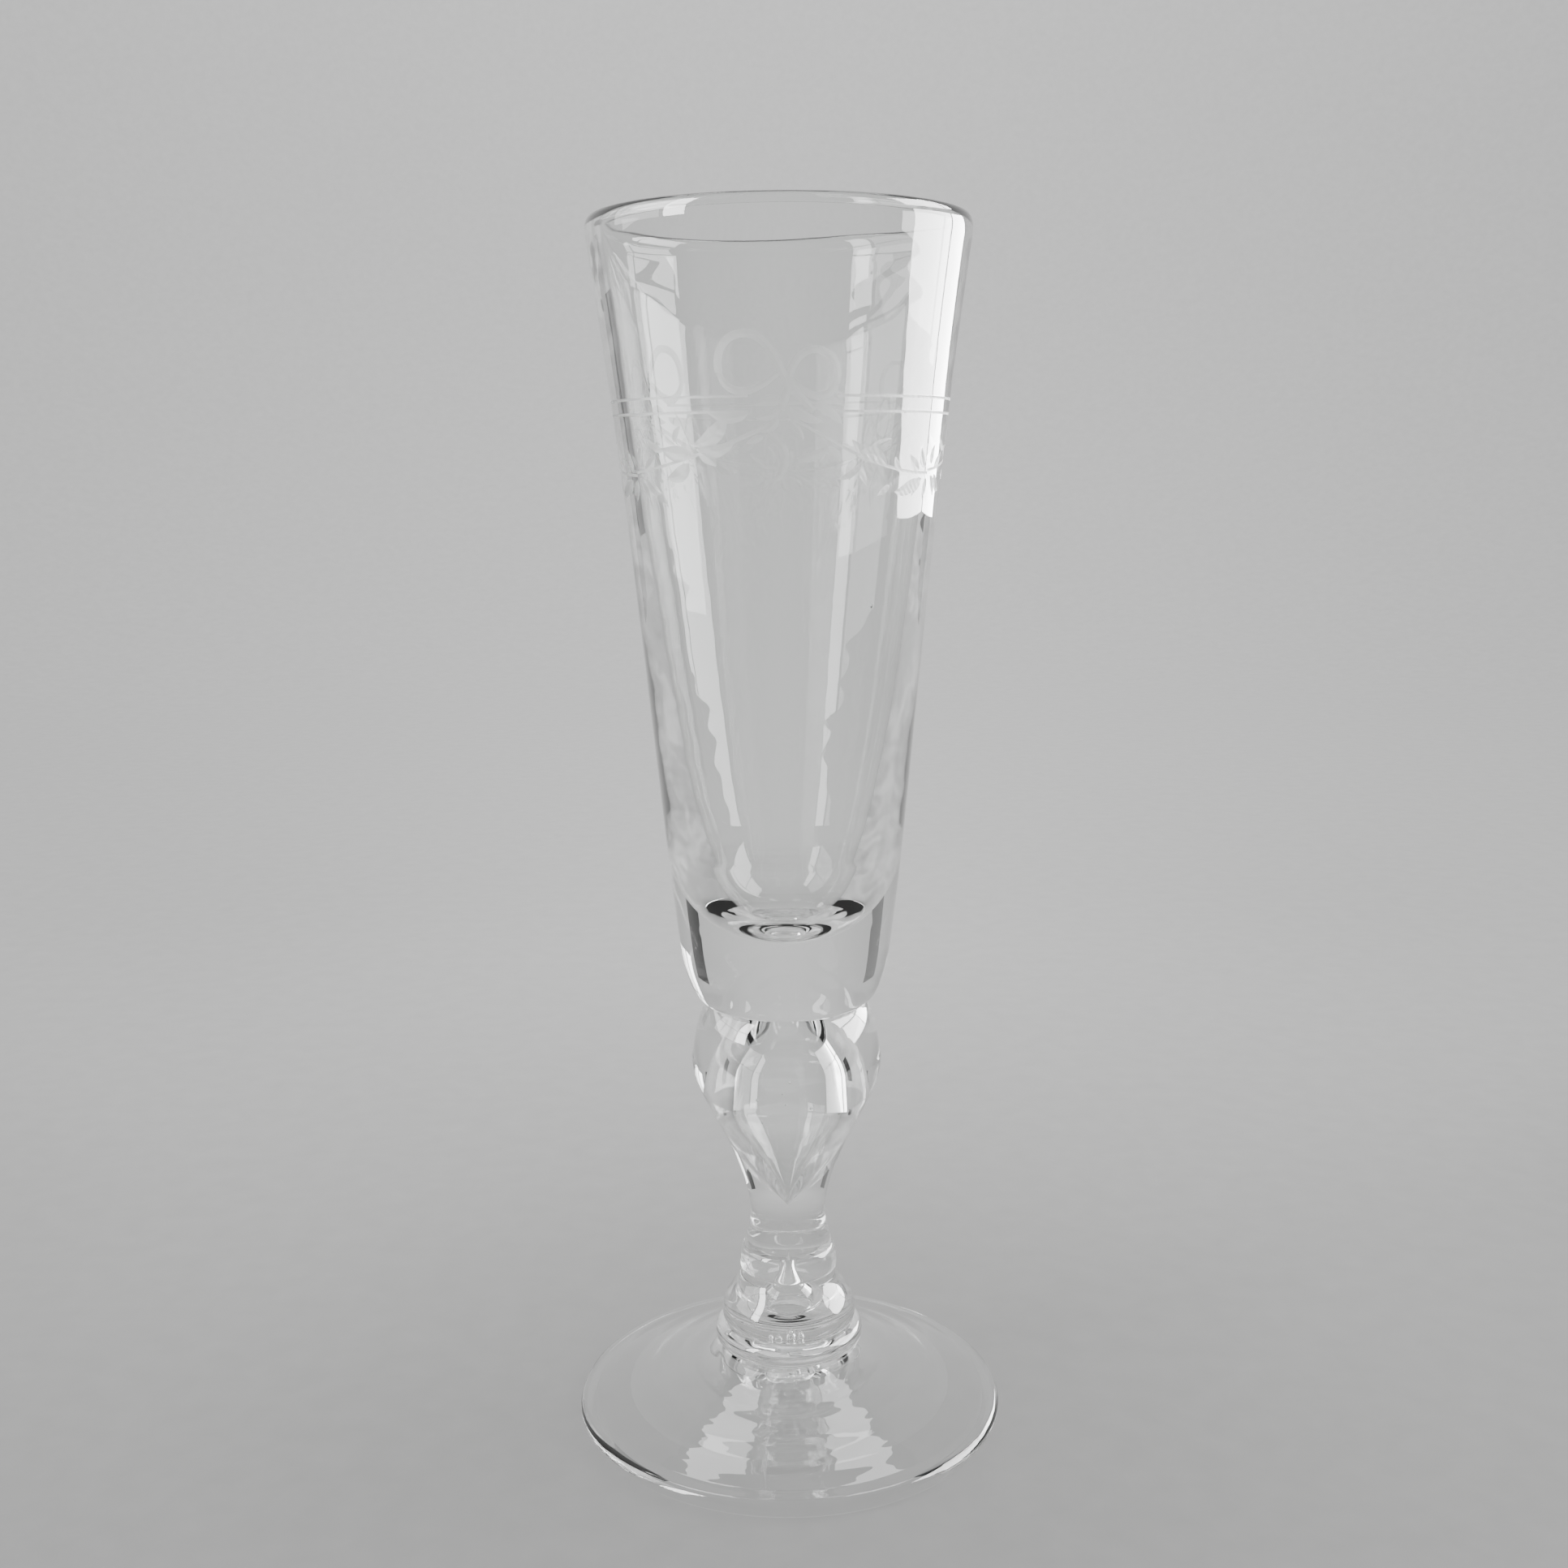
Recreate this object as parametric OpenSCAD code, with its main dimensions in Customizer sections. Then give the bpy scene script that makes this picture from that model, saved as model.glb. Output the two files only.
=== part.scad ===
// Tall conical champagne flute in hand-made clear glass: a thick-based bowl with two engraved ring
// lines, a shouldered baluster stem and a ringed base knop that each hold an air tear, a merese
// and a wide conical foot. The five gathers of glass are fused face to face.
// Millimetres. The origin is the centre of the circle the foot stands on, and +Z is up.

/* [Overall] */
// Height from the table to the rim
height = 190; // [180:1:205]

/* [Bowl] */
// Outside diameter at the rim
rim_d = 57.4; // [54:0.2:62]
// Outside diameter just above the rounded heel
heel_d = 32.8; // [31:0.2:35]
// Thickness of the wall at the rim
wall = 2.2; // [1.8:0.1:2.6]
// Thickness of the solid glass under the inside of the bowl
base_thick = 11.6; // [9:0.2:14]
// Diameter of the fused joint with the stem
bowl_joint_d = 24.8; // [23:0.2:26]

/* [Engraved ring lines] */
// Depth of the upper ring line below the rim
line_drop = 26.6; // [20:0.2:34]
// Distance between the two ring lines
line_gap = 2.1; // [1.4:0.1:4]
// Radius of the round wheel cut
line_cut_r = 0.22; // [0.15:0.01:0.4]

/* [Stem] */
// Height of the baluster
stem_h = 41.6; // [38:0.2:45]
// Diameter at the shoulder's edge
shoulder_d = 30.4; // [29:0.2:33]
// Diameter of the neck
neck_d = 12.2; // [11:0.2:13]
// Greatest diameter of the upper air tear
tear_d = 16.8; // [13:0.2:18]

/* [Base knop] */
// Height of the ring and the knop together
knop_h = 13.1; // [12:0.1:15]
// Greatest diameter of the knop
knop_d = 21.8; // [20:0.2:24]
// Greatest diameter of the lower air tear
small_tear_d = 8.4; // [6:0.2:9]

/* [Merese] */
// Height of the merese
merese_h = 3.4; // [2.6:0.2:4.4]
// Diameter of the merese
merese_d = 24.2; // [23:0.2:26]

/* [Foot] */
// Diameter of the foot
foot_d = 69.4; // [64:0.2:76]
// Height of the foot's top above the table
foot_h = 11.8; // [10:0.2:13.5]
// Thickness of the foot at its edge
foot_edge = 2.9; // [2.4:0.1:3.4]

/* [Hidden] */
$fn = 96;
glass = [0.84, 0.88, 0.86, 0.45];
steps = 10;              // straight pieces in one curve
rim_r = rim_d / 2;
heel_r = heel_d / 2;
bowl_joint_r = bowl_joint_d / 2;
shoulder_r = shoulder_d / 2;
neck_r = neck_d / 2;
stem_joint_r = 7.2;      // joint of the stem and the base knop
tear_r = tear_d / 2;
knop_r = knop_d / 2;
knop_joint_r = 10.1;     // joint of the base knop and the merese
ring_r = 7.9;            // ring above the knop
small_tear_r = small_tear_d / 2;
merese_r = merese_d / 2;
merese_joint_r = 11.4;   // joint of the merese and the foot
foot_r = foot_d / 2;
merese_z = foot_h;
knop_z = merese_z + merese_h;
stem_z = knop_z + knop_h;
bowl_z = stem_z + stem_h;
heel_z = bowl_z + 7.6;   // top of the bowl's rounded heel
lip_z = height - 4;      // where the wall turns into the rounded lip
floor_z = bowl_z + base_thick;

// Points of a cubic curve, without its last one
function curve(a, b, c, d) = [for (i = [0:steps - 1]) let (t = i / steps, u = 1 - t)
    u * u * u * a + 3 * u * u * t * b + 3 * u * t * t * c + t * t * t * d];

// Points of an arc in the radius-height plane
function arc(centre, r, from, to) = [for (i = [0:steps]) let (a = from + (to - from) * i / steps)
    centre + r * [cos(a), sin(a)]];

// Outside of the bowl's wall, from the heel to the lip, which turns in a little
wall_rise = lip_z - heel_z;
lip_r = rim_r - 0.2;
bowl_side = curve([heel_r, heel_z], [heel_r + 3, heel_z + 0.189 * wall_rise],
    [lip_r - 6.6, heel_z + 0.576 * wall_rise], [lip_r, lip_z]);

// Outside radius of the bowl at a height
function bowl_r(z) = lookup(z, [for (p = bowl_side) [p[1], p[0]]]);

module bowl_outline() {
    floor_turn = [heel_r - 4.2, floor_z + 13];
    inside_top = [lip_r - wall, lip_z + 1.2];
    crest = [lip_r - wall / 2 + 0.1, height];
    polygon(concat(
        [[0, bowl_z]],
        curve([bowl_joint_r, bowl_z], [bowl_joint_r + 1.8, bowl_z + 0.2],
            [heel_r - 0.8, heel_z - 4.3], [heel_r, heel_z]),
        bowl_side,
        curve([lip_r, lip_z], [rim_r + 0.22, height - 1.6], [rim_r + 0.02, height], crest),
        curve(crest, [crest[0] - 0.8, height], [inside_top[0] + 0.05, height - 0.8], inside_top),
        curve(inside_top, [lip_r - 8.5, floor_z + 0.56 * wall_rise],
            [heel_r + 0.6, floor_z + 29], floor_turn),
        curve(floor_turn, [heel_r - 5.4, floor_z + 5], [heel_r - 8.9, floor_z], [0, floor_z]),
        [[0, floor_z]]));
}

module bowl() {
    color(glass) difference() {
        rotate_extrude() bowl_outline();
        for (z = [height - line_drop, height - line_drop - line_gap])
            rotate_extrude() translate([bowl_r(z) + line_cut_r / 2, z]) circle(r = line_cut_r, $fn = 16);
    }
}

// Drop-shaped pocket of air, with its point down
module stem_tear() {
    point_z = stem_z + 8;
    top_z = bowl_z - 3.5;
    wide_z = bowl_z - 14.9;
    polygon(concat(
        curve([0, point_z], [0.38 * tear_r, point_z + 6.2], [tear_r, wide_z - 4.5], [tear_r, wide_z]),
        curve([tear_r, wide_z], [tear_r, wide_z + 6.5], [0.62 * tear_r, top_z], [0, top_z]),
        [[0, top_z]]));
}

module stem_outline() {
    neck_z = stem_z + 5.5;
    waist = [9.7, stem_z + 18.3];
    edge_z = bowl_z - 9.4;
    polygon(concat(
        [[0, stem_z]],
        curve([stem_joint_r, stem_z], [6.9, stem_z + 2.1], [neck_r, neck_z - 2.2], [neck_r, neck_z]),
        curve([neck_r, neck_z], [neck_r + 0.1, neck_z + 4.8], [8.2, waist[1] - 3.6], waist),
        curve(waist, [11.9, waist[1] + 4.6], [shoulder_r, edge_z - 4], [shoulder_r, edge_z - 0.3]),
        curve([shoulder_r, edge_z + 0.3], [shoulder_r - 0.6, edge_z + 3.5],
            [bowl_joint_r + 2.2, bowl_z - 2.3], [bowl_joint_r, bowl_z]),
        [[bowl_joint_r, bowl_z], [0, bowl_z]]));
}

module stem() {
    color(glass) difference() {
        rotate_extrude() stem_outline();
        rotate_extrude() stem_tear();
    }
}

// Smaller pocket of air in the base knop, with its point up
module knop_tear() {
    point_z = stem_z - 1;
    wide_z = knop_z + 2.3;
    bottom_z = knop_z + 0.8;
    polygon(concat(
        curve([0, bottom_z], [0.7 * small_tear_r, bottom_z], [small_tear_r, bottom_z + 0.3],
            [small_tear_r, wide_z]),
        curve([small_tear_r, wide_z], [0.85 * small_tear_r, wide_z + 3.2], [0.4, point_z - 4.6],
            [0, point_z]),
        [[0, point_z]]));
}

module base_knop_outline() {
    groove = [ring_r - 0.3, stem_z - 4.1];
    polygon(concat(
        [[0, knop_z]],
        curve([knop_joint_r, knop_z], [knop_r, knop_z + 0.1], [knop_r, knop_z + 0.7],
            [knop_r, knop_z + 1.6]),
        curve([knop_r, knop_z + 1.6], [knop_r, knop_z + 5], [groove[0] + 0.4, knop_z + 6.2], groove),
        curve(groove, [ring_r, groove[1] + 0.2], [ring_r, groove[1] + 0.6], [ring_r, groove[1] + 1]),
        curve([ring_r, groove[1] + 1], [ring_r, groove[1] + 2.2], [stem_joint_r + 0.5, stem_z - 0.4],
            [stem_joint_r, stem_z]),
        [[stem_joint_r, stem_z], [0, stem_z]]));
}

module base_knop() {
    color(glass) difference() {
        rotate_extrude() base_knop_outline();
        rotate_extrude() knop_tear();
    }
}

module merese() {
    mid_z = merese_z + merese_h / 2;
    color(glass) rotate_extrude() polygon(concat(
        [[0, merese_z]],
        curve([merese_joint_r, merese_z], [merese_r, merese_z + 0.3], [merese_r, mid_z - 0.5],
            [merese_r, mid_z]),
        curve([merese_r, mid_z], [merese_r, mid_z + 1], [merese_r - 0.8, knop_z], [knop_joint_r, knop_z]),
        [[knop_joint_r, knop_z], [0, knop_z]]));
}

// Conical above, hollow beneath, so it stands on a narrow flat ring near its edge
module foot() {
    edge_r = foot_edge / 2;
    edge_centre = [foot_r - edge_r, edge_r];
    stand_in = foot_r - 3.1;      // inside of the ring that stands on the table
    hollow_top = foot_h - 4.4;
    color(glass) rotate_extrude() polygon(concat(
        arc(edge_centre, edge_r, -90, 80),
        curve([foot_r - 2 * edge_r, foot_edge + 0.35], [foot_r - 8, foot_edge + 2.3],
            [merese_joint_r + 3.8, foot_h - 1.9], [merese_joint_r, foot_h]),
        [[merese_joint_r, foot_h], [0, foot_h], [0, hollow_top]],
        curve([5, hollow_top], [16, hollow_top - 1], [stand_in - 6, 1.9], [stand_in, 0]),
        [[stand_in, 0]]));
}

bowl();
stem();
base_knop();
merese();
foot();
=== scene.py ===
"""The looks of the champagne flute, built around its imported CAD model.

Every gather of glass is a fine lathed mesh that stands for its CAD node, with the small unevenness
of hand work. Faces where two gathers are fused let light straight through, so the glass reads as
one body. The bowl carries an engraved border of ribbon bows, sprays and two ring lines, cut into
its mesh. Lengths are in metres, and MM turns the drawing's millimetres into them.
"""
import math
import bpy
import numpy as np
from mathutils import Matrix, Vector
from mathutils.geometry import delaunay_2d_cdt


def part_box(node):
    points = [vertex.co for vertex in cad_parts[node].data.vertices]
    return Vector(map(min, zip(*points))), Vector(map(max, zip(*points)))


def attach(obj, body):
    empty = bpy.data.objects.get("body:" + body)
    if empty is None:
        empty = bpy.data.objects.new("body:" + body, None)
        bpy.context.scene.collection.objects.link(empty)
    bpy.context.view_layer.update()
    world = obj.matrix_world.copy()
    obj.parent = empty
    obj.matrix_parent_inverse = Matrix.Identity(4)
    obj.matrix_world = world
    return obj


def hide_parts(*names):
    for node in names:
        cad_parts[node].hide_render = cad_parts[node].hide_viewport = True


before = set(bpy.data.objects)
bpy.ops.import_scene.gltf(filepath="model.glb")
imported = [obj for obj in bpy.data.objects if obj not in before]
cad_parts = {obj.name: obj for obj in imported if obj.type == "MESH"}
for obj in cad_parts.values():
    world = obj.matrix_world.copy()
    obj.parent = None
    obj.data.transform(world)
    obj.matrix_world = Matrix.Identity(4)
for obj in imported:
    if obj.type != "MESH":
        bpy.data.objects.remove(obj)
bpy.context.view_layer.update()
MM = 0.001

# ---------------------------------------------------------------- sizes taken from the frame
BOWL_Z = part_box("bowl")[0].z
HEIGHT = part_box("bowl")[1].z
RIM_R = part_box("bowl")[1].x
STEM_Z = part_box("stem")[0].z
SHOULDER_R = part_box("stem")[1].x
KNOP_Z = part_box("base_knop")[0].z
KNOP_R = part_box("base_knop")[1].x
FOOT_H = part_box("foot")[1].z
FOOT_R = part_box("foot")[1].x
MERESE_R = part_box("merese")[1].x

# Sizes inside the drawing's outlines, as in the part's source
WALL = 2.2 * MM
HEEL_R = 16.4 * MM
HEEL_Z = BOWL_Z + 7.6 * MM
LIP_R = RIM_R - 0.2 * MM
LIP_Z = HEIGHT - 4 * MM
FLOOR_Z = BOWL_Z + 11.6 * MM
BOWL_JOINT_R = 12.4 * MM
NECK_R = 6.1 * MM
STEM_JOINT_R = 7.2 * MM
TEAR_R = 8.4 * MM
KNOP_JOINT_R = 10.1 * MM
RING_R = 7.9 * MM
SMALL_TEAR_R = 4.2 * MM
MERESE_JOINT_R = 11.4 * MM
FOOT_EDGE = 2.9 * MM


# ---------------------------------------------------------------- outlines
def curve(a, b, c, d, n=60):
    """Points of a cubic curve in a plane."""
    t = np.linspace(0, 1, n)[:, None]
    u = 1 - t
    a, b, c, d = (np.array(p, float) for p in (a, b, c, d))
    return u**3 * a + 3 * u * u * t * b + 3 * u * t * t * c + t**3 * d


def arc(centre, radius, start, end, n=40):
    """Points of an arc in a plane, its angles in degrees."""
    a = np.radians(np.linspace(start, end, n))
    return np.array(centre) + radius * np.stack([np.cos(a), np.sin(a)], 1)


def line(a, b, n=12):
    return np.linspace(a, b, n)


def on_lathe(r, z, angle):
    """Points at a radius, height and angle; angle 0 is the front, and it grows towards +X."""
    return np.stack([r * np.sin(angle), -r * np.cos(angle), z + 0 * angle], -1)


class Run:
    """A smooth stretch of an outline, read by the length along it."""

    def __init__(self, *parts, finish="glass", step=0.7 * MM, wave=None):
        points = np.concatenate(parts)
        keep = np.append(True, np.linalg.norm(np.diff(points, axis=0), axis=1) > 1e-9)
        self.points = points[keep]
        lengths = np.linalg.norm(np.diff(self.points, axis=0), axis=1)
        self.at = np.append(0, np.cumsum(lengths))
        self.finish = finish
        self.step = step
        self.wave = wave

    def outline(self, s):
        return np.interp(s, self.at, self.points[:, 0]), np.interp(s, self.at, self.points[:, 1])

    def place(self, s, angle):
        """Points on the lathed surface, moved along its normal by the wave."""
        r, z = self.outline(s)
        if self.wave is not None:
            reach = 0.2 * MM
            r0, z0 = self.outline(np.clip(s - reach, 0, self.at[-1]))
            r1, z1 = self.outline(np.clip(s + reach, 0, self.at[-1]))
            size = np.hypot(r1 - r0, z1 - z0) + 1e-12
            off = self.wave(angle, r, z)
            r, z = r + off * (z1 - z0) / size, z - off * (r1 - r0) / size
        return on_lathe(r, z, angle)

    def normal(self, s, angle):
        """Unit normals, pointing to the right-hand side of the outline's direction."""
        ds, da, end = 0.12 * MM, 0.004, self.at[-1]
        along = self.place(np.clip(s + ds, 0, end), angle) - self.place(np.clip(s - ds, 0, end), angle)
        around = np.stack([np.cos(angle), np.sin(angle), 0 * angle], -1)
        turned = self.place(s, angle + da) - self.place(s, angle - da)
        weak = np.linalg.norm(turned, axis=-1, keepdims=True) < 1e-8
        n = np.cross(np.where(weak, around, turned), along)
        return n / (np.linalg.norm(n, axis=-1, keepdims=True) + 1e-12)

    def stations(self, start=0.0, end=None):
        end = self.at[-1] if end is None else end
        return np.linspace(start, end, max(3, int(round((end - start) / self.step)) + 1))


# ---------------------------------------------------------------- meshes
class Solid:
    """Collects the closed shells of one mesh, with a normal for every face corner."""

    def __init__(self, columns=160):
        self.columns = columns
        self.angle = np.arange(columns) * 2 * math.pi / columns
        self.points, self.faces, self.normals, self.finishes = [], [], [], []

    def ring(self, run, s):
        """Adds a ring of points, or one point where the outline meets the axis."""
        first = len(self.points)
        r, z = run.outline(s)
        if r < 1e-7:
            self.points.append((0, 0, z))
            return [first] * self.columns
        self.points.extend(run.place(np.full(self.columns, s), self.angle))
        return list(range(first, first + self.columns))

    def face(self, corners, normals, finish):
        kept = [i for i, c in enumerate(corners) if c not in corners[:i]]
        self.faces.append([corners[i] for i in kept])
        self.normals.extend(normals[i] for i in kept)
        self.finishes.append(finish)

    def lathe(self, run, places=None, first=None):
        """Adds a lathed run, on from the ring first where there is one, and returns its last ring."""
        places = run.stations() if places is None else places
        below = self.ring(run, places[0]) if first is None else first
        below_n = run.normal(np.full(self.columns, places[0]), self.angle)
        for s in places[1:]:
            above = self.ring(run, s)
            above_n = run.normal(np.full(self.columns, s), self.angle)
            for j in range(self.columns):
                k = (j + 1) % self.columns
                self.face([below[j], below[k], above[k], above[j]],
                          [below_n[j], below_n[k], above_n[k], above_n[j]], run.finish)
            below, below_n = above, above_n
        return below

    def shell(self, *runs):
        """A closed shell of runs that start and end on the axis."""
        last = None
        for run in runs:
            last = self.lathe(run, first=last)

    def bubble(self, centre, radius, tall=1.0):
        """A closed pocket of air; its normals point into it."""
        rows, columns = 10, 16
        first = len(self.points)
        centre = np.array(centre, float)
        shape = np.array((radius, radius, radius * tall))
        outward = [np.array((0, 0, -1.0))]
        for i in range(1, rows):
            down = math.pi * i / rows
            for j in range(columns):
                a = 2 * math.pi * j / columns
                outward.append(np.array((math.sin(down) * math.cos(a), math.sin(down) * math.sin(a),
                                         -math.cos(down))))
        outward.append(np.array((0, 0, 1.0)))
        self.points.extend(centre + shape * n for n in outward)

        def index(i, j):
            if i == 0 or i == rows:
                return 0 if i == 0 else len(outward) - 1
            return 1 + (i - 1) * columns + j % columns

        for i in range(rows):
            for j in range(columns):
                at = [index(i, j), index(i + 1, j), index(i + 1, j + 1), index(i, j + 1)]
                self.face([first + c for c in at], [-outward[c] for c in at], "glass")

    def build(self, name, materials):
        """The mesh object; materials gives the material of each finish."""
        order = list(materials)
        mesh = bpy.data.meshes.new(name)
        mesh.from_pydata(self.points, [], self.faces)
        for finish in order:
            mesh.materials.append(materials[finish])
        mesh.polygons.foreach_set("material_index", [order.index(f) for f in self.finishes])
        mesh.polygons.foreach_set("use_smooth", [True] * len(self.faces))
        mesh.update()
        mesh.normals_split_custom_set(self.normals)
        obj = bpy.data.objects.new(name, mesh)
        bpy.context.scene.collection.objects.link(obj)
        return obj


# ---------------------------------------------------------------- the engraved border
# Drawn on the unrolled wall: millimetres round the bowl from the middle of a bow, and heights.
BOWS = 3
BORDER_R = 25.2
ROUND = 2 * math.pi * BORDER_R
PERIOD = ROUND / BOWS
BORDER_LOW, BORDER_HIGH = 148.5, 175.5
CUT_SLOPE = 0.16    # depth of a cut for each millimetre in from its side
LINE_DROP = 26.6
LINE_GAP = 2.1
DRAWN_SHIFT = (0.6, -0.9)    # brings the drawn bow and sprays to their place in the photo
SEAM_AT = 48 / 360 * ROUND    # where the border's plan is cut open


def ribbon(a, b, c, d, width, n=12, taper=0.0):
    """A cut of even width along a cubic curve, narrower at its ends by the share taper."""
    t = np.linspace(0, 1, n)
    return curve(a, b, c, d, n), width / 2 * (1 - taper * np.abs(2 * t - 1) ** 2)


def straight(a, b, width, n=2):
    return line(a, b, n), np.full(n, width / 2)


def leaf(base, tip, width, bend=0.0, n=9):
    """A pointed leaf, bent to its left by the share bend of its length."""
    base, tip = np.array(base, float), np.array(tip, float)
    side = np.array((-(tip - base)[1], (tip - base)[0]))
    t = np.linspace(0, 1, n)
    spine = base + (tip - base) * t[:, None] + side * (4 * bend * t * (1 - t))[:, None]
    return spine, width / 2 * np.maximum(np.sin(math.pi * t**0.8) ** 0.8, 0.03)


def bow():
    knot = (0.4, 165.6)
    cuts = [ribbon(knot, (-1.0, 169.2), (-2.7, 172.6), (-5.2, 172.6), 1.15),
            ribbon((-5.2, 172.6), (-8.2, 172.6), (-9.4, 169.9), (-8.9, 167.5), 1.15),
            ribbon((-8.9, 167.5), (-8.3, 165.0), (-5.5, 163.4), (-1.0, 167.3), 1.15, taper=0.3),
            ribbon(knot, (0.9, 169.6), (3.0, 170.6), (4.4, 170.4), 1.05),
            ribbon((4.4, 170.4), (6.4, 170.2), (7.7, 168.0), (7.0, 165.8), 1.05),
            ribbon((7.0, 165.8), (6.2, 163.6), (3.0, 163.6), (0.6, 166.6), 1.05),
            ribbon(knot, (0.4, 164.4), (-0.2, 163.8), (-0.6, 162.4), 1.2, 6),
            ribbon((0.8, 165.0), (1.8, 164.6), (2.8, 163.4), (4.1, 162.2), 1.0, 6),
            ribbon((-2.4, 159.2), (0.2, 158.2), (0.9, 154.6), (-1.6, 152.7), 1.35, 10, 0.6)]
    cuts += [leaf((-0.4, 163.3), (-4.4, 163.0), 1.3, -0.1), leaf((-0.6, 162.5), (-4.2, 161.4), 1.3, 0.1),
             leaf((0.2, 163.0), (1.6, 160.6), 1.2), leaf((0.9, 162.7), (5.4, 160.9), 1.4, -0.1),
             leaf((3.8, 162.9), (8.2, 160.3), 1.3, 0.12), leaf((4.6, 163.3), (8.4, 163.0), 0.9, 0.1),
             leaf((-1.0, 161.6), (-3.4, 159.4), 1.3, 0.15), leaf((-2.9, 158.9), (-5.6, 157.9), 1.0),
             leaf((1.6, 155.9), (6.4, 157.6), 1.4, -0.12), leaf((5.8, 157.3), (8.4, 155.1), 1.2, 0.1),
             leaf((0.4, 160.9), (2.6, 158.2), 0.9, 0.1)]
    return cuts


def right_spray():
    """The twig from the bow to the right, with its leaves, up to half of the rosette."""
    return [ribbon((1.6, 160.9), (8, 157.4), (14, 153.6), (26.2, 153.6), 0.42, 20),
            leaf((10.8, 156.0), (16.0, 154.8), 2.3, 0.16), leaf((11.6, 155.0), (12.6, 151.9), 2.4, 0.1),
            leaf((11.3, 155.2), (7.7, 153.0), 1.0, 0.14), leaf((11.4, 155.7), (9.7, 158.3), 1.0, -0.1),
            leaf((12.6, 156.9), (16.6, 158.4), 0.6, 0.1), leaf((23.6, 154.2), (20.8, 156.3), 1.6, 0.1),
            leaf((25.2, 154.4), (23.8, 157.2), 1.4, 0.1), leaf((23.2, 152.9), (17.9, 151.0), 1.9, 0.1),
            leaf((24.4, 152.8), (22.0, 150.4), 1.5, -0.1), leaf((16.9, 152.0), (14.5, 150.5), 1.0),
            leaf((26.0, 152.9), (25.2, 149.9), 1.3), leaf((19.0, 153.9), (17.6, 156.0), 1.1, 0.1)]


def left_spray():
    """The twig from the bow to the left, with its broader leaves, up to half of the rosette."""
    return [ribbon((-1.4, 160.9), (-7, 158.3), (-14, 155.2), (-26.6, 154.0), 0.42, 20),
            ribbon((-2.0, 160.2), (-5.6, 158.9), (-8.2, 157.6), (-10.6, 157.2), 0.4, 10),
            leaf((-5.0, 161.9), (-11.0, 162.2), 1.4, 0.12), leaf((-8.4, 161.5), (-13.8, 157.7), 2.4, 0.14),
            leaf((-13.2, 157.2), (-7.2, 158.0), 1.9, -0.12), leaf((-12.9, 156.7), (-10.1, 154.8), 1.9, 0.1),
            leaf((-14.4, 156.9), (-19.6, 157.4), 2.3, 0.1), leaf((-14.6, 155.3), (-19.0, 153.3), 2.2, 0.14),
            leaf((-19.2, 157.0), (-22.9, 159.0), 1.1, 0.1), leaf((-17.0, 158.2), (-15.6, 160.4), 1.0, 0.1),
            leaf((-24.0, 154.6), (-21.2, 156.6), 1.5, -0.1), leaf((-25.4, 154.8), (-24.6, 157.6), 1.4, 0.1),
            leaf((-23.8, 153.4), (-20.4, 151.0), 1.7, -0.1), leaf((-25.4, 153.2), (-23.4, 150.2), 1.4, 0.1)]


def ring_lines():
    """Two thin lines that stop short of the bow on either side."""
    top = HEIGHT / MM - LINE_DROP
    return [straight((7.9, z), (PERIOD - 4.4, z), 0.36, 40) for z in (top, top - LINE_GAP)]


def border():
    """Every cut of the border, as a spine and its half-widths, with copies past the seam's two sides."""
    drawn = bow() + right_spray() + left_spray()
    motif = [(spine + DRAWN_SHIFT, half) for spine, half in drawn] + ring_lines()
    cuts = []
    for k in range(-1, BOWS + 2):
        for spine, half in motif:
            moved = spine + (k * PERIOD, 0)
            if moved[:, 0].max() + 2 > SEAM_AT and moved[:, 0].min() - 2 < SEAM_AT + ROUND:
                cuts.append((moved, half))
    return cuts


def cut_sides(spine, half):
    """The two sides of a cut."""
    along = np.gradient(spine, axis=0)
    along /= np.linalg.norm(along, axis=1, keepdims=True)
    side = np.stack([-along[:, 1], along[:, 0]], 1) * half[:, None]
    return spine + side, spine - side


def cut_depth(points, cuts):
    """Depth of the deepest cut at each point: a V that is deepest along the spine."""
    depth = np.zeros(len(points))
    for spine, half in cuts:
        reach = half.max()
        low, high = spine.min(0) - reach, spine.max(0) + reach
        near = np.nonzero(((points >= low) & (points <= high)).all(1))[0]
        if not len(near):
            continue
        a, b = spine[:-1], spine[1:]
        p = points[near][:, None]
        t = np.clip(((p - a) * (b - a)).sum(2) / ((b - a) ** 2).sum(1), 0, 1)
        gap = np.linalg.norm(p - a - (b - a) * t[..., None], axis=2)
        inside = (half[:-1] + (half[1:] - half[:-1]) * t - gap).max(1)
        depth[near] = np.maximum(depth[near], CUT_SLOPE * inside)
    return depth


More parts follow.
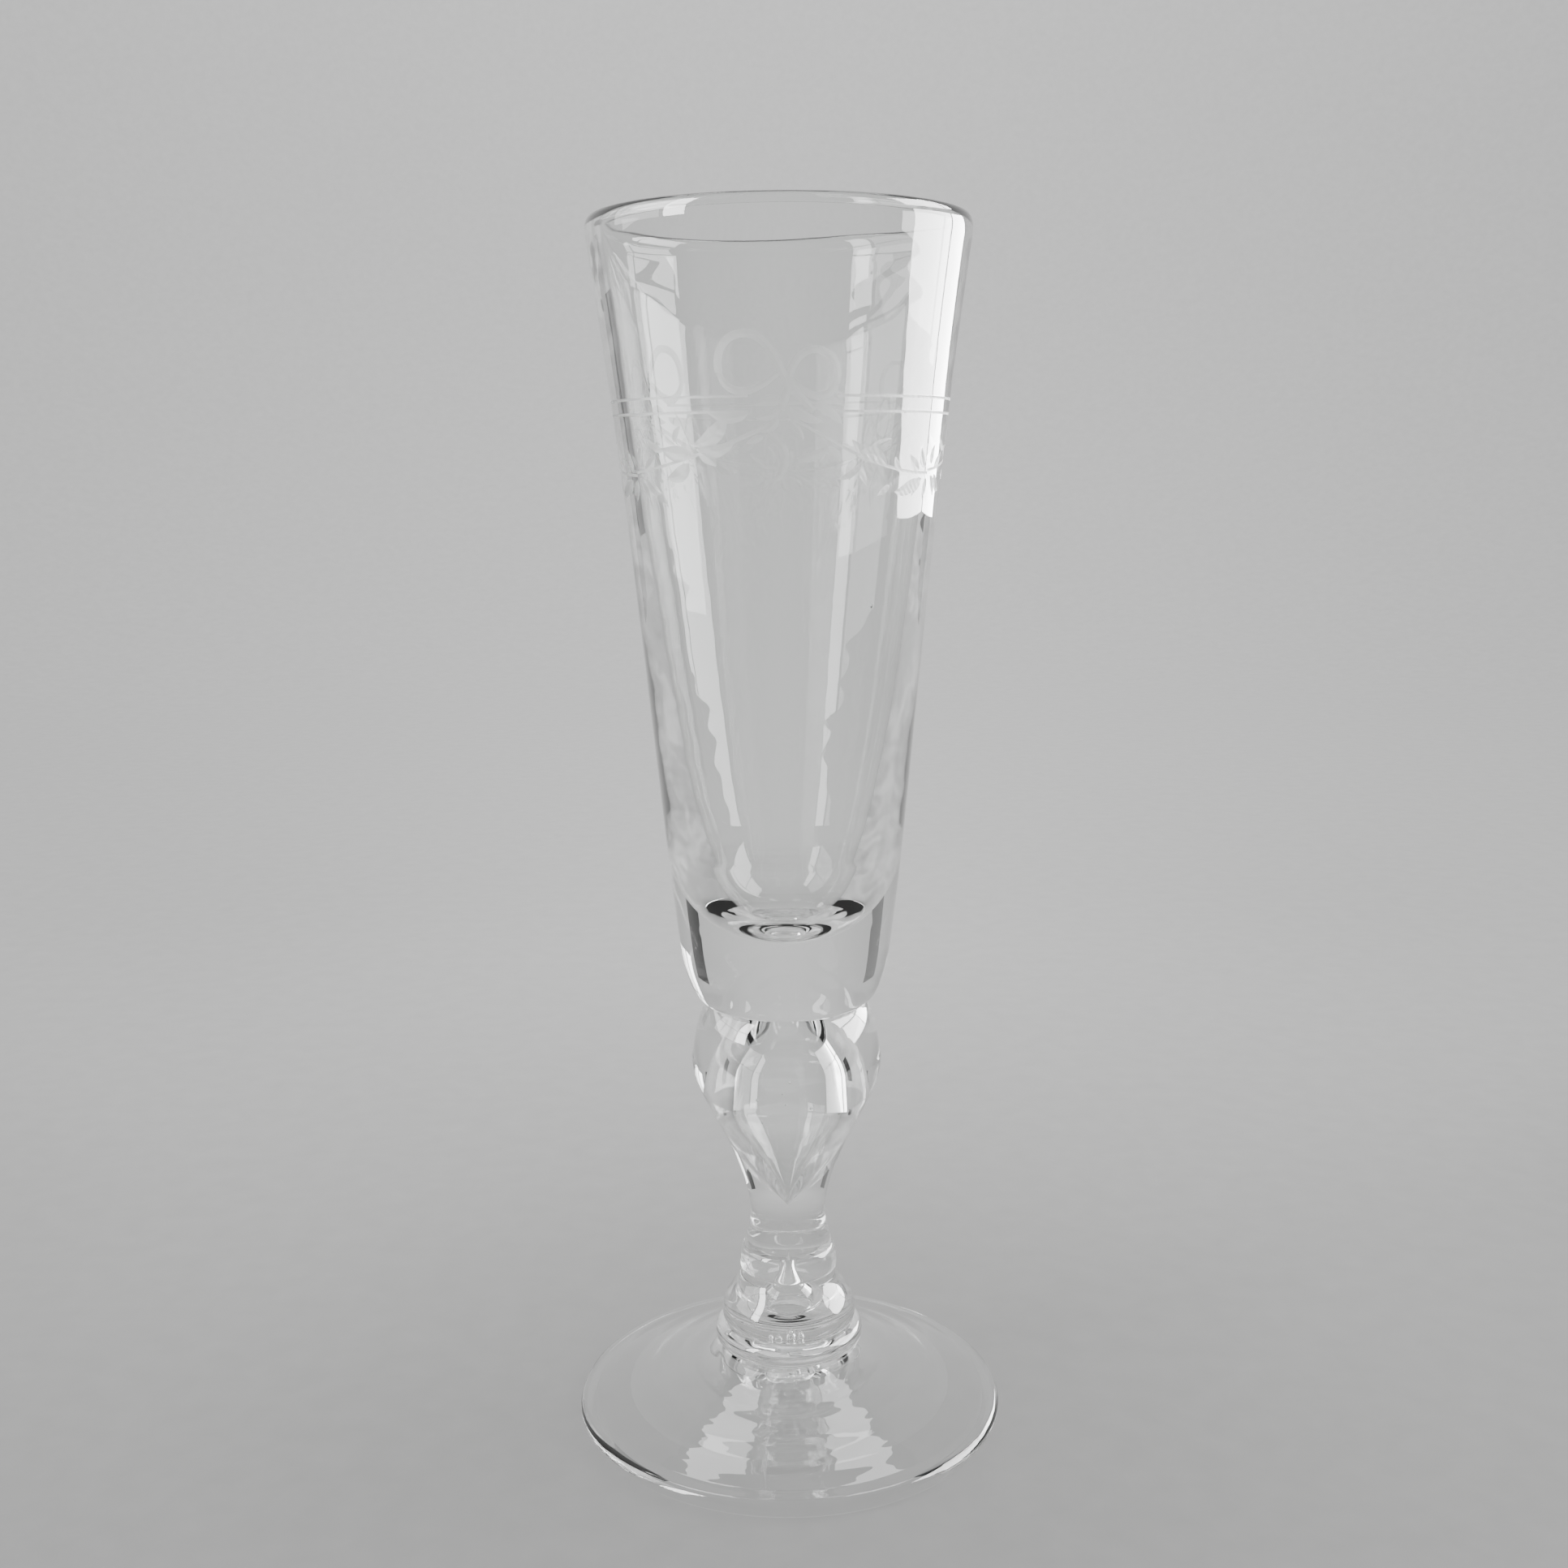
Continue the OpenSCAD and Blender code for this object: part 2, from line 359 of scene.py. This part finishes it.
def border_plan(columns):
    """Triangles of the unrolled border, and for each whether it lies in a cut."""
    cuts = border()
    across = SEAM_AT + np.arange(columns + 1) * ROUND / columns
    up = np.linspace(BORDER_LOW, BORDER_HIGH, 17)
    points = [(u, v) for v in up for u in across]
    edges, quads = [], []
    corner = [0, columns, (len(up) - 1) * (columns + 1) + columns, (len(up) - 1) * (columns + 1)]
    for row in (0, len(up) - 1):
        edges += [(row * (columns + 1) + i, row * (columns + 1) + i + 1) for i in range(columns)]
    for i in range(len(up) - 1):
        edges += [(i * (columns + 1) + c, (i + 1) * (columns + 1) + c) for c in (0, columns)]
    for spine, half in cuts:
        left, right = cut_sides(spine, half)
        first, n = len(points), len(spine)
        points += [tuple(p) for p in np.concatenate([left, spine, right])]
        edges += [(first + n + i, first + n + i + 1) for i in range(n - 1)]
        quads += [(first + 2 * n + i, first + 2 * n + i + 1, first + i + 1, first + i) for i in range(n - 1)]
    out = delaunay_2d_cdt([Vector(p) for p in points], edges, [corner] + quads, 0, 1e-5)
    plan = np.array([tuple(v) for v in out[0]])
    faces = [(f, len(source) > 1) for f, source in zip(out[2], out[5]) if 0 in source]
    return plan, faces, cut_depth(plan, cuts)


def engrave(solid, run, below, above):
    """Fills the wall between two rings with the engraved border."""
    plan, faces, depth = border_plan(solid.columns)
    rising = run.points[:, 1] < LIP_Z
    count = int(np.argmin(rising)) if not rising.all() else len(rising)
    s = np.interp(plan[:, 1] * MM, run.points[:count, 1], run.at[:count])
    angle = plan[:, 0] / BORDER_R
    normal = run.normal(s, angle)
    place = run.place(s, angle) - normal * (depth * MM)[:, None]
    turn = np.round((plan[:, 0] - SEAM_AT) / ROUND, 7) % 1
    known = {}
    shift = int(round(SEAM_AT / ROUND * solid.columns))
    for ring, height in ((below, BORDER_LOW), (above, BORDER_HIGH)):
        for j in range(solid.columns):
            known[(round(j / solid.columns, 5), round(height, 3))] = ring[(j + shift) % solid.columns]
    index = []
    for i, (t, v) in enumerate(zip(turn, plan[:, 1])):
        key = (round(float(t), 5) % 1, round(float(v), 3))
        if key not in known:
            known[key] = len(solid.points)
            solid.points.append(place[i])
        index.append(known[key])
    for face, cut in faces:
        corners = [index[c] for c in face]
        if len(set(corners)) < 3:
            continue
        if cut:
            a, b, c = (np.array(solid.points[k]) for k in corners[:3])
            flat = np.cross(b - a, c - a)
            flat /= np.linalg.norm(flat) + 1e-15
            solid.face(corners, [flat] * len(corners), "engraved")
        else:
            solid.face(corners, [normal[c] for c in face], "glass")


# ---------------------------------------------------------------- materials
def node_material(name):
    m = bpy.data.materials.new(name)
    m.use_nodes = True
    nt = m.node_tree
    nt.nodes.clear()
    return m, nt, nt.nodes.new("ShaderNodeOutputMaterial")


GLASS_INDEX = 1.52
GLASS_TINT = (0.992, 0.998, 0.994, 1)


def clear_glass(name):
    """Clear glass with a faint grey-green tint and the soft unevenness of hand work.

    The coat isn't a property of the glass: it only makes its reflections stronger."""
    m, nt, out = node_material(name)
    shader = nt.nodes.new("ShaderNodeBsdfPrincipled")
    shader.inputs["Transmission Weight"].default_value = 1.0
    shader.inputs["IOR"].default_value = GLASS_INDEX
    shader.inputs["Base Color"].default_value = GLASS_TINT
    shader.inputs["Coat Weight"].default_value = 0.8
    shader.inputs["Coat Roughness"].default_value = 0.01
    coords = nt.nodes.new("ShaderNodeTexCoord")
    noise = nt.nodes.new("ShaderNodeTexNoise")
    noise.inputs["Scale"].default_value = 90
    noise.inputs["Detail"].default_value = 2.0
    nt.links.new(coords.outputs["Object"], noise.inputs["Vector"])
    bumps = nt.nodes.new("ShaderNodeBump")
    bumps.inputs["Strength"].default_value = 0.02
    bumps.inputs["Distance"].default_value = 0.5 * MM
    nt.links.new(noise.outputs["Fac"], bumps.inputs["Height"])
    nt.links.new(bumps.outputs["Normal"], shader.inputs["Normal"])
    rough = nt.nodes.new("ShaderNodeMapRange")
    rough.inputs["To Min"].default_value = 0.0
    rough.inputs["To Max"].default_value = 0.015
    nt.links.new(noise.outputs["Fac"], rough.inputs["Value"])
    nt.links.new(rough.outputs["Result"], shader.inputs["Roughness"])
    nt.links.new(shader.outputs["BSDF"], out.inputs["Surface"])
    return m


def engraved_glass():
    """The matt bottom of a wheel cut, with the fine scratches that the wheel leaves."""
    m, nt, out = node_material("engraved_glass")
    shader = nt.nodes.new("ShaderNodeBsdfPrincipled")
    shader.inputs["Base Color"].default_value = (0.93, 0.94, 0.93, 1)
    shader.inputs["IOR"].default_value = GLASS_INDEX
    shader.inputs["Transmission Weight"].default_value = 0.82
    coords = nt.nodes.new("ShaderNodeTexCoord")
    wave = nt.nodes.new("ShaderNodeTexWave")
    wave.wave_type = "BANDS"
    wave.bands_direction = "DIAGONAL"
    wave.inputs["Scale"].default_value = 420
    wave.inputs["Distortion"].default_value = 3.0
    nt.links.new(coords.outputs["Object"], wave.inputs["Vector"])
    bumps = nt.nodes.new("ShaderNodeBump")
    bumps.inputs["Strength"].default_value = 0.6
    bumps.inputs["Distance"].default_value = 0.05 * MM
    nt.links.new(wave.outputs["Fac"], bumps.inputs["Height"])
    nt.links.new(bumps.outputs["Normal"], shader.inputs["Normal"])
    rough = nt.nodes.new("ShaderNodeMapRange")
    rough.inputs["To Min"].default_value = 0.34
    rough.inputs["To Max"].default_value = 0.6
    nt.links.new(wave.outputs["Fac"], rough.inputs["Value"])
    nt.links.new(rough.outputs["Result"], shader.inputs["Roughness"])
    nt.links.new(shader.outputs["BSDF"], out.inputs["Surface"])
    return m


def fused_seam():
    """Where two gathers are fused there is no surface to see, so light goes straight through."""
    m, nt, out = node_material("fused_seam")
    shader = nt.nodes.new("ShaderNodeBsdfTransparent")
    nt.links.new(shader.outputs["BSDF"], out.inputs["Surface"])
    return m


# ---------------------------------------------------------------- unevenness of hand work
def bowl_wave(angle, r, z):
    """Slow swells round and along the bowl, a few hundredths of a millimetre."""
    mm = z / MM
    return MM * (0.030 * np.sin(2 * angle + 0.05 * mm) + 0.016 * np.sin(3 * angle - 0.11 * mm + 1.1)
                 + 0.010 * np.sin(0.35 * mm + 2 * np.sin(angle + 0.7))
                 + 0.004 * np.sin(1.1 * mm + 3 * angle))


def foot_wave(angle, r, z):
    """Rings left by the tool that spread the foot, and a slow warp, less at the edge."""
    mm = r / MM
    return MM * (0.038 * np.sin(1.12 * mm + 0.9 * np.sin(2 * angle + 0.3)) + 0.02 * np.sin(2 * angle + 0.4)
                 + 0.0035 * np.sin(3.7 * mm + 1.8 * np.sin(angle - 0.5)))


def stem_wave(angle, r, z):
    mm = z / MM
    return MM * (0.02 * np.sin(2 * angle + 0.2 * mm) + 0.01 * np.sin(3 * angle + 0.5 * mm))


def tear_wave(angle, r, z):
    mm = z / MM
    return MM * (0.05 * np.sin(2 * angle + 0.3 * mm) + 0.03 * np.sin(5 * angle - 0.4 * mm)) * r / TEAR_R


# ---------------------------------------------------------------- pieces
glass_bowl = clear_glass("bowl_glass")
glass_stem = clear_glass("stem_glass")
glass_foot = clear_glass("foot_glass")
engraved = engraved_glass()
seam = fused_seam()


# Small bubbles, each as x, y, z and radius in millimetres
STEM_BUBBLES = ((-0.6, -11.5, 58.5, 0.16), (0.4, -11.2, 60, 0.18), (-4.2, -10.4, 57.5, 0.2),
                (-0.2, -11.6, 57, 0.14), (3.4, -10.6, 56.2, 0.22), (-3.6, -10, 53.5, 0.14))
KNOP_BUBBLES = ((-4.9, -3.2, 17.2, 0.35), (-5.4, -2.2, 18.9, 0.25), (-4.6, -4.4, 16.3, 0.2))
MERESE_BUBBLES = ((0.2, -2.6, 14.1, 0.62), (-1.2, -2.2, 13.7, 0.5), (1.3, -2.0, 13.9, 0.45),
                  (-0.4, -3.6, 13.3, 0.34), (1.9, -3.1, 13.2, 0.3), (-2.2, -3.0, 14.2, 0.34))


def add_bubbles(solid, bubbles):
    for x, y, z, radius in bubbles:
        solid.bubble((x * MM, y * MM, z * MM), radius * MM)


def seam_disc(z, radius, outward):
    """The run of a fused face, from the axis out or back to it."""
    ends = ((0, z), (radius, z)) if outward else ((radius, z), (0, z))
    return Run(line(*ends), finish="seam", step=3 * MM)


def build_bowl():
    rise = LIP_Z - HEEL_Z
    heel = curve((BOWL_JOINT_R, BOWL_Z), (BOWL_JOINT_R + 1.8 * MM, BOWL_Z + 0.2 * MM),
                 (HEEL_R - 0.8 * MM, HEEL_Z - 4.3 * MM), (HEEL_R, HEEL_Z))
    outside = curve((HEEL_R, HEEL_Z), (HEEL_R + 3 * MM, HEEL_Z + 0.189 * rise),
                    (LIP_R - 6.6 * MM, HEEL_Z + 0.576 * rise), (LIP_R, LIP_Z), n=200)
    crest = (LIP_R - WALL / 2 + 0.1 * MM, HEIGHT)
    inside_top = (LIP_R - WALL, LIP_Z + 1.2 * MM)
    lip = np.concatenate([curve((LIP_R, LIP_Z), (RIM_R + 0.22 * MM, HEIGHT - 1.6 * MM),
                                (RIM_R + 0.02 * MM, HEIGHT), crest),
                          curve(crest, (crest[0] - 0.8 * MM, HEIGHT),
                                (inside_top[0] + 0.05 * MM, HEIGHT - 0.8 * MM), inside_top)])
    turn = (HEEL_R - 4.2 * MM, FLOOR_Z + 13 * MM)
    inside = curve(inside_top, (LIP_R - 8.5 * MM, FLOOR_Z + 0.56 * rise),
                   (HEEL_R + 0.6 * MM, FLOOR_Z + 29 * MM), turn, n=200)
    floor = curve(turn, (HEEL_R - 5.4 * MM, FLOOR_Z + 5 * MM), (HEEL_R - 8.9 * MM, FLOOR_Z), (0, FLOOR_Z))
    body = Run(heel, outside, lip, inside, floor, wave=bowl_wave, step=0.6 * MM)
    solid = Solid(columns=180)
    last = solid.lathe(seam_disc(BOWL_Z, BOWL_JOINT_R, True))
    wall_end = len(heel) + len(outside) - 1
    low, high = np.interp([BORDER_LOW * MM, BORDER_HIGH * MM], body.points[:wall_end, 1], body.at[:wall_end])
    below = solid.lathe(body, body.stations(0, low), last)
    above = solid.ring(body, high)
    engrave(solid, body, below, above)
    solid.lathe(body, body.stations(high), above)
    solid.bubble((12.6 * MM, -17.4 * MM, 134 * MM), 0.16 * MM, 2.2)
    return solid.build("bowl_glass_body", {"glass": glass_bowl, "seam": seam, "engraved": engraved})


def stem_tear_run():
    """The drop of air in the stem, point down, run from its top."""
    point_z, top_z, wide_z = STEM_Z + 8 * MM, BOWL_Z - 3.5 * MM, BOWL_Z - 14.9 * MM
    return Run(curve((0, top_z), (0.62 * TEAR_R, top_z), (TEAR_R, wide_z + 6.5 * MM), (TEAR_R, wide_z)),
               curve((TEAR_R, wide_z), (TEAR_R, wide_z - 4.5 * MM), (0.38 * TEAR_R, point_z + 6.2 * MM),
                     (0, point_z)), step=0.35 * MM, wave=tear_wave)


def build_stem():
    neck_z = STEM_Z + 5.5 * MM
    waist = (9.7 * MM, STEM_Z + 18.3 * MM)
    edge_z = BOWL_Z - 9.4 * MM
    low = curve((STEM_JOINT_R, STEM_Z), (6.9 * MM, STEM_Z + 2.1 * MM), (NECK_R, neck_z - 2.2 * MM),
                (NECK_R, neck_z))
    neck = curve((NECK_R, neck_z), (NECK_R + 0.1 * MM, neck_z + 4.8 * MM), (8.2 * MM, waist[1] - 3.6 * MM),
                 waist)
    under = curve(waist, (11.9 * MM, waist[1] + 4.6 * MM), (SHOULDER_R, edge_z - 4 * MM),
                  (SHOULDER_R, edge_z - 0.3 * MM))
    over = curve((SHOULDER_R, edge_z + 0.3 * MM), (SHOULDER_R - 0.6 * MM, edge_z + 3.5 * MM),
                 (BOWL_JOINT_R + 2.2 * MM, BOWL_Z - 2.3 * MM), (BOWL_JOINT_R, BOWL_Z))
    solid = Solid()
    solid.shell(seam_disc(STEM_Z, STEM_JOINT_R, True),
                Run(low, neck, under, over, wave=stem_wave, step=0.4 * MM),
                seam_disc(BOWL_Z, BOWL_JOINT_R, False))
    solid.shell(stem_tear_run())
    add_bubbles(solid, STEM_BUBBLES)
    return solid.build("stem_glass_body", {"glass": glass_stem, "seam": seam})


def knop_tear_run():
    """The smaller drop of air in the knop, point up, run from its point."""
    point_z, wide_z, bottom_z = STEM_Z - 1 * MM, KNOP_Z + 2.3 * MM, KNOP_Z + 0.8 * MM
    return Run(curve((0, point_z), (0.4 * MM, point_z - 4.6 * MM), (0.85 * SMALL_TEAR_R, wide_z + 3.2 * MM),
                     (SMALL_TEAR_R, wide_z)),
               curve((SMALL_TEAR_R, wide_z), (SMALL_TEAR_R, bottom_z + 0.3 * MM),
                     (0.7 * SMALL_TEAR_R, bottom_z), (0, bottom_z)), step=0.25 * MM, wave=tear_wave)


def build_knop():
    groove = (RING_R - 0.3 * MM, STEM_Z - 4.1 * MM)
    ring_z = groove[1] + 1 * MM
    ball = [curve((KNOP_JOINT_R, KNOP_Z), (KNOP_R, KNOP_Z + 0.1 * MM), (KNOP_R, KNOP_Z + 0.7 * MM),
                  (KNOP_R, KNOP_Z + 1.6 * MM)),
            curve((KNOP_R, KNOP_Z + 1.6 * MM), (KNOP_R, KNOP_Z + 5 * MM),
                  (groove[0] + 0.4 * MM, KNOP_Z + 6.2 * MM), groove)]
    ring = [curve(groove, (RING_R, groove[1] + 0.2 * MM), (RING_R, groove[1] + 0.6 * MM), (RING_R, ring_z)),
            curve((RING_R, ring_z), (RING_R, ring_z + 1.2 * MM),
                  (STEM_JOINT_R + 0.5 * MM, STEM_Z - 0.4 * MM), (STEM_JOINT_R, STEM_Z))]
    solid = Solid()
    solid.shell(seam_disc(KNOP_Z, KNOP_JOINT_R, True), Run(*ball, wave=stem_wave, step=0.3 * MM),
                Run(*ring, wave=stem_wave, step=0.3 * MM), seam_disc(STEM_Z, STEM_JOINT_R, False))
    solid.shell(knop_tear_run())
    add_bubbles(solid, KNOP_BUBBLES)
    return solid.build("base_knop_glass_body", {"glass": glass_stem, "seam": seam})


def build_merese():
    mid = (FOOT_H + KNOP_Z) / 2
    body = [curve((MERESE_JOINT_R, FOOT_H), (MERESE_R, FOOT_H + 0.3 * MM), (MERESE_R, mid - 0.5 * MM),
                  (MERESE_R, mid)),
            curve((MERESE_R, mid), (MERESE_R, mid + 1 * MM), (MERESE_R - 0.8 * MM, KNOP_Z),
                  (KNOP_JOINT_R, KNOP_Z))]
    solid = Solid()
    solid.shell(seam_disc(FOOT_H, MERESE_JOINT_R, True), Run(*body, step=0.2 * MM),
                seam_disc(KNOP_Z, KNOP_JOINT_R, False))
    add_bubbles(solid, MERESE_BUBBLES)
    return solid.build("merese_glass_body", {"glass": glass_stem, "seam": seam})


def build_foot():
    """The foot. The outer band of its hollow has the see-through finish of a seam.

    That is a workaround: as glass it turns the foot's edge black at the usual limit on bounces."""
    edge_r = FOOT_EDGE / 2
    stand_in = FOOT_R - 3.1 * MM
    hollow_top = FOOT_H - 4.4 * MM
    clear_band = 6 * MM
    under = curve((5 * MM, hollow_top), (16 * MM, hollow_top - 1 * MM), (stand_in - 6 * MM, 1.9 * MM),
                  (stand_in, 0), n=120)
    edge = (FOOT_R - edge_r, edge_r)
    clear = int(np.argmax(under[:, 0] > stand_in - clear_band))
    top = curve((FOOT_R - 2 * edge_r, FOOT_EDGE + 0.35 * MM), (FOOT_R - 8 * MM, FOOT_EDGE + 2.3 * MM),
                (MERESE_JOINT_R + 3.8 * MM, FOOT_H - 1.9 * MM), (MERESE_JOINT_R, FOOT_H), n=120)
    solid = Solid(columns=200)
    solid.shell(Run(line((0, hollow_top), (5 * MM, hollow_top)), under[:clear + 1], wave=foot_wave,
                    step=0.35 * MM),
                Run(under[clear:], finish="seam", step=0.35 * MM),
                Run(line((stand_in, 0), (FOOT_R - edge_r, 0)), arc(edge, edge_r, -90, 80), top,
                    wave=foot_wave, step=0.3 * MM),
                seam_disc(FOOT_H, MERESE_JOINT_R, False))
    return solid.build("foot_glass_body", {"glass": glass_foot, "seam": seam})


def place(piece, node, slot):
    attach(piece, "root")
    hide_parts(node)


place(build_bowl(), "bowl", "bowl_glass")
place(build_stem(), "stem", "stem_glass")
place(build_knop(), "base_knop", "stem_glass")
place(build_merese(), "merese", "stem_glass")
place(build_foot(), "foot", "foot_glass")


# ---------------------------------------------------------------- stage
def smooth(low, high, x):
    t = np.clip((x - low) / (high - low), 0, 1)
    return t * t * (3 - 2 * t)


def stage_light(x, y, z):
    """Painted light of the paper's glow: an even glow that is lighter behind the glass and higher up, with a
    painted shadow under the glass and painted shade towards both sides.
    """
    r = math.hypot(x, y)
    off_axis = math.degrees(math.atan2(abs(x), abs(y))) if r > 1e-6 else 0
    far = smooth(0.12, 0.4, r)
    # painted shade: the glow falls off towards both sides
    sides = 0.2 * smooth(0, 40, off_axis) + 0.42 * smooth(48, 76, off_axis)
    # painted shadow of the glass on the paper under it
    near = 0.1 * (1 - smooth(0.03, 0.12, r))
    # painted light: the paper glows more behind the glass and higher up
    behind = 0.35 * smooth(-0.08, 0.3, y)
    high_up = 0.1 * smooth(0.3, 1.0, z)
    base = 0.43
    return (base + behind + high_up) * (1 - far * sides - near)


def build_stage():
    """A pale seamless sweep all round: floor, a wide curve and a wall, a hair below the foot."""
    floor_r, cove, top = 0.9, 0.7, 2.2
    gap = 0.05 * MM
    outline = np.concatenate([line((0, 0), (floor_r, 0), 60),
                              arc((floor_r, cove), cove, -90, 0, 24)[1:],
                              line((floor_r + cove, cove), (floor_r + cove, top), 12)[1:]])
    columns = 120
    points, faces = [], []
    for r, z in outline:
        for j in range(columns):
            a = 2 * math.pi * j / columns
            points.append((r * math.cos(a), r * math.sin(a), z - gap))
    for i in range(len(outline) - 1):
        for j in range(columns):
            k = (j + 1) % columns
            low, high = i * columns, (i + 1) * columns
            faces.append((low + j, low + k, high + k, high + j))
    mesh = bpy.data.meshes.new("stage")
    mesh.from_pydata(points, [], faces)
    mesh.polygons.foreach_set("use_smooth", [True] * len(faces))
    # paper_light holds the painted light and shade of the paper, with its painted shadow under the glass
    glow = mesh.color_attributes.new("paper_light", "FLOAT_COLOR", "POINT")
    for i, p in enumerate(points):
        light = stage_light(*p)
        glow.data[i].color = (light, light, light, 1)
    mesh.materials.append(stage_paper())
    obj = bpy.data.objects.new("stage", mesh)
    bpy.context.scene.collection.objects.link(obj)


def stage_paper():
    """Matt grey paper that glows a little, with a faint grain. The glow is painted light: paper_light paints
    the light on the paper, with a painted shadow under the glass and painted shade towards both sides.
    """
    m, nt, out = node_material("stage_paper")
    matt = nt.nodes.new("ShaderNodeBsdfDiffuse")
    matt.inputs["Color"].default_value = (0.03, 0.03, 0.029, 1)
    light = nt.nodes.new("ShaderNodeVertexColor")
    light.layer_name = "paper_light"
    grain = nt.nodes.new("ShaderNodeTexNoise")
    grain.inputs["Scale"].default_value = 160
    grain.inputs["Detail"].default_value = 3
    spread = nt.nodes.new("ShaderNodeMapRange")
    spread.inputs["To Min"].default_value = 0.93
    spread.inputs["To Max"].default_value = 1.07
    coords = nt.nodes.new("ShaderNodeTexCoord")
    nt.links.new(coords.outputs["Object"], grain.inputs["Vector"])
    nt.links.new(grain.outputs["Fac"], spread.inputs["Value"])
    # painted light: the paper's glow follows paper_light and its painted shadow
    glow = nt.nodes.new("ShaderNodeEmission")
    nt.links.new(light.outputs["Color"], glow.inputs["Color"])
    nt.links.new(spread.outputs["Result"], glow.inputs["Strength"])
    both = nt.nodes.new("ShaderNodeAddShader")
    nt.links.new(matt.outputs["BSDF"], both.inputs[0])
    nt.links.new(glow.outputs["Emission"], both.inputs[1])
    nt.links.new(both.outputs["Shader"], out.inputs["Surface"])
    return m


# ---------------------------------------------------------------- lights and camera
# Where the lights are: distances from the glass, and the height that elevations are measured from
WINDOW_AWAY = 1.0
WINDOW_EYE_Z = 0.12
SILL_AWAY = 0.6
CARD_AWAY = 0.9


def area_light(name, width, height, radiance):
    data = bpy.data.lights.new(name, "AREA")
    data.shape = "RECTANGLE"
    data.size = width
    data.size_y = height
    data.energy = radiance * math.pi * width * height
    obj = bpy.data.objects.new(name, data)
    obj.visible_camera = False
    bpy.context.scene.collection.objects.link(obj)
    return obj


def beside_glass(distance, azimuth, z):
    """A point round the glass. Azimuth 0 is the camera's side, -Y, and 90 is +X."""
    a = math.radians(azimuth)
    return distance * math.sin(a), -distance * math.cos(a), z


def pane(name, azimuths, elevations, radiance):
    """An upright pane of light that faces the glass, seen between two azimuths and two elevations."""
    low, high = (WINDOW_EYE_Z + WINDOW_AWAY * math.tan(math.radians(e)) for e in elevations)
    half = math.radians(azimuths[1] - azimuths[0]) / 2
    middle = (azimuths[0] + azimuths[1]) / 2
    obj = area_light(name, 2 * WINDOW_AWAY * math.tan(half), high - low, radiance)
    obj.location = beside_glass(WINDOW_AWAY, middle, (low + high) / 2)
    obj.rotation_euler = (math.pi / 2, 0, math.radians(middle))
    return obj


def window(name, wide, narrow, elevations, radiances):
    """A window of a wide and a narrow pane, each crossed by a thin bar; returns its lower panes."""
    bar, half_bar = 21.5, 0.6
    lower = []
    for part, azimuths, radiance in zip(("wide", "narrow"), (wide, narrow), radiances):
        lower.append(pane(f"{name}_{part}_low", azimuths, (elevations[0], bar - half_bar), radiance))
        pane(f"{name}_{part}_high", azimuths, (bar + half_bar, elevations[1]), radiance)
    return lower


def glowing_card(name, points, faces, radiance):
    """An evenly glowing card beside the glass, which the camera doesn't see and which has no shadow."""
    mesh = bpy.data.meshes.new(name)
    mesh.from_pydata(points, [], faces)
    m, nt, out = node_material(name + "_glow")
    glow = nt.nodes.new("ShaderNodeEmission")
    glow.inputs["Strength"].default_value = radiance
    nt.links.new(glow.outputs["Emission"], out.inputs["Surface"])
    mesh.materials.append(m)
    obj = bpy.data.objects.new(name, mesh)
    obj.visible_camera = False
    obj.visible_shadow = False
    bpy.context.scene.collection.objects.link(obj)
    return obj


def sill_light(name, rows, radiance):
    """The near side of the right window, which only shows as a reflection on the glass.

    Each row, from the bottom up, gives the azimuth and height of its two ends."""
    points = [beside_glass(SILL_AWAY, azimuth, z) for row in rows for azimuth, z in row]
    faces = [(2 * i, 2 * i + 1, 2 * i + 3, 2 * i + 2) for i in range(len(rows) - 1)]
    obj = glowing_card(name, points, faces, radiance)
    obj.visible_transmission = False
    obj.visible_diffuse = False


def dark_card(name, azimuth, radiance):
    """A dark card that stands behind the glass to one side and draws the dark edges of its thick base."""
    half_width, tall = 5.5, 0.2
    points = [beside_glass(CARD_AWAY, azimuth + side * half_width, z) for z in (0, tall) for side in (-1, 1)]
    glowing_card(name, points, [(0, 1, 3, 2)], radiance)


def build_lights():
    """Two windows, the right one's sill lights and two skylights, all fitted to the photo's view.

    The right window's lower panes don't show in reflections: the sill lights stand in for them there."""
    for obj in window("window_right", (79, 116), (118, 125), (-1.2, 46), (20, 20)):
        obj.visible_glossy = False
    window("window_left", (-108, -71), (-68, -54), (4, 46), (3, 24))
    sill_light("sill_right_wide", (((92, 0.045), (122, 0.078)), ((83.3, 0.131), (118.3, 0.15)),
                                   ((82, 0.3), (117, 0.3))), 22)
    sill_light("sill_right_narrow", (((123.3, 0.079), (146, 0.098)), ((119.5, 0.15), (139, 0.17)),
                                     ((118.2, 0.3), (134, 0.3))), 30)
    size, aside, back, up = 0.28, 0.33, 0.44, 1.12
    for side in (-1, 1):
        skylight = area_light(f"skylight_{side + 2}", size, size, 5)
        skylight.location = (aside * side, back, up)


def build_room():
    world = bpy.data.worlds.new("room")
    world.use_nodes = True
    world.node_tree.nodes["Background"].inputs["Color"].default_value = (0.98, 1, 1, 1)
    world.node_tree.nodes["Background"].inputs["Strength"].default_value = 0.6
    bpy.context.scene.world = world


def build_camera():
    """The camera that was fitted to the photo: lower than the rim, and looking down a little."""
    data = bpy.data.cameras.new("camera")
    data.sensor_width = 36
    data.lens = 40.38
    data.clip_start = 0.01
    obj = bpy.data.objects.new("camera", data)
    away, up = 1.4275 * HEIGHT, 0.8142 * HEIGHT
    obj.location = (0, -away, up)
    pitch, roll = math.radians(10.43), math.radians(-0.53)
    turn = Matrix.Rotation(math.radians(90) - pitch, 4, "X") @ Matrix.Rotation(roll, 4, "Z")
    obj.rotation_euler = turn.to_euler()
    bpy.context.scene.collection.objects.link(obj)
    bpy.context.scene.camera = obj


build_stage()
build_lights()
build_room()
dark_card("dark_card_right", 136.5, 0.005)
dark_card("dark_card_left", -136.5, 0.18)
build_camera()
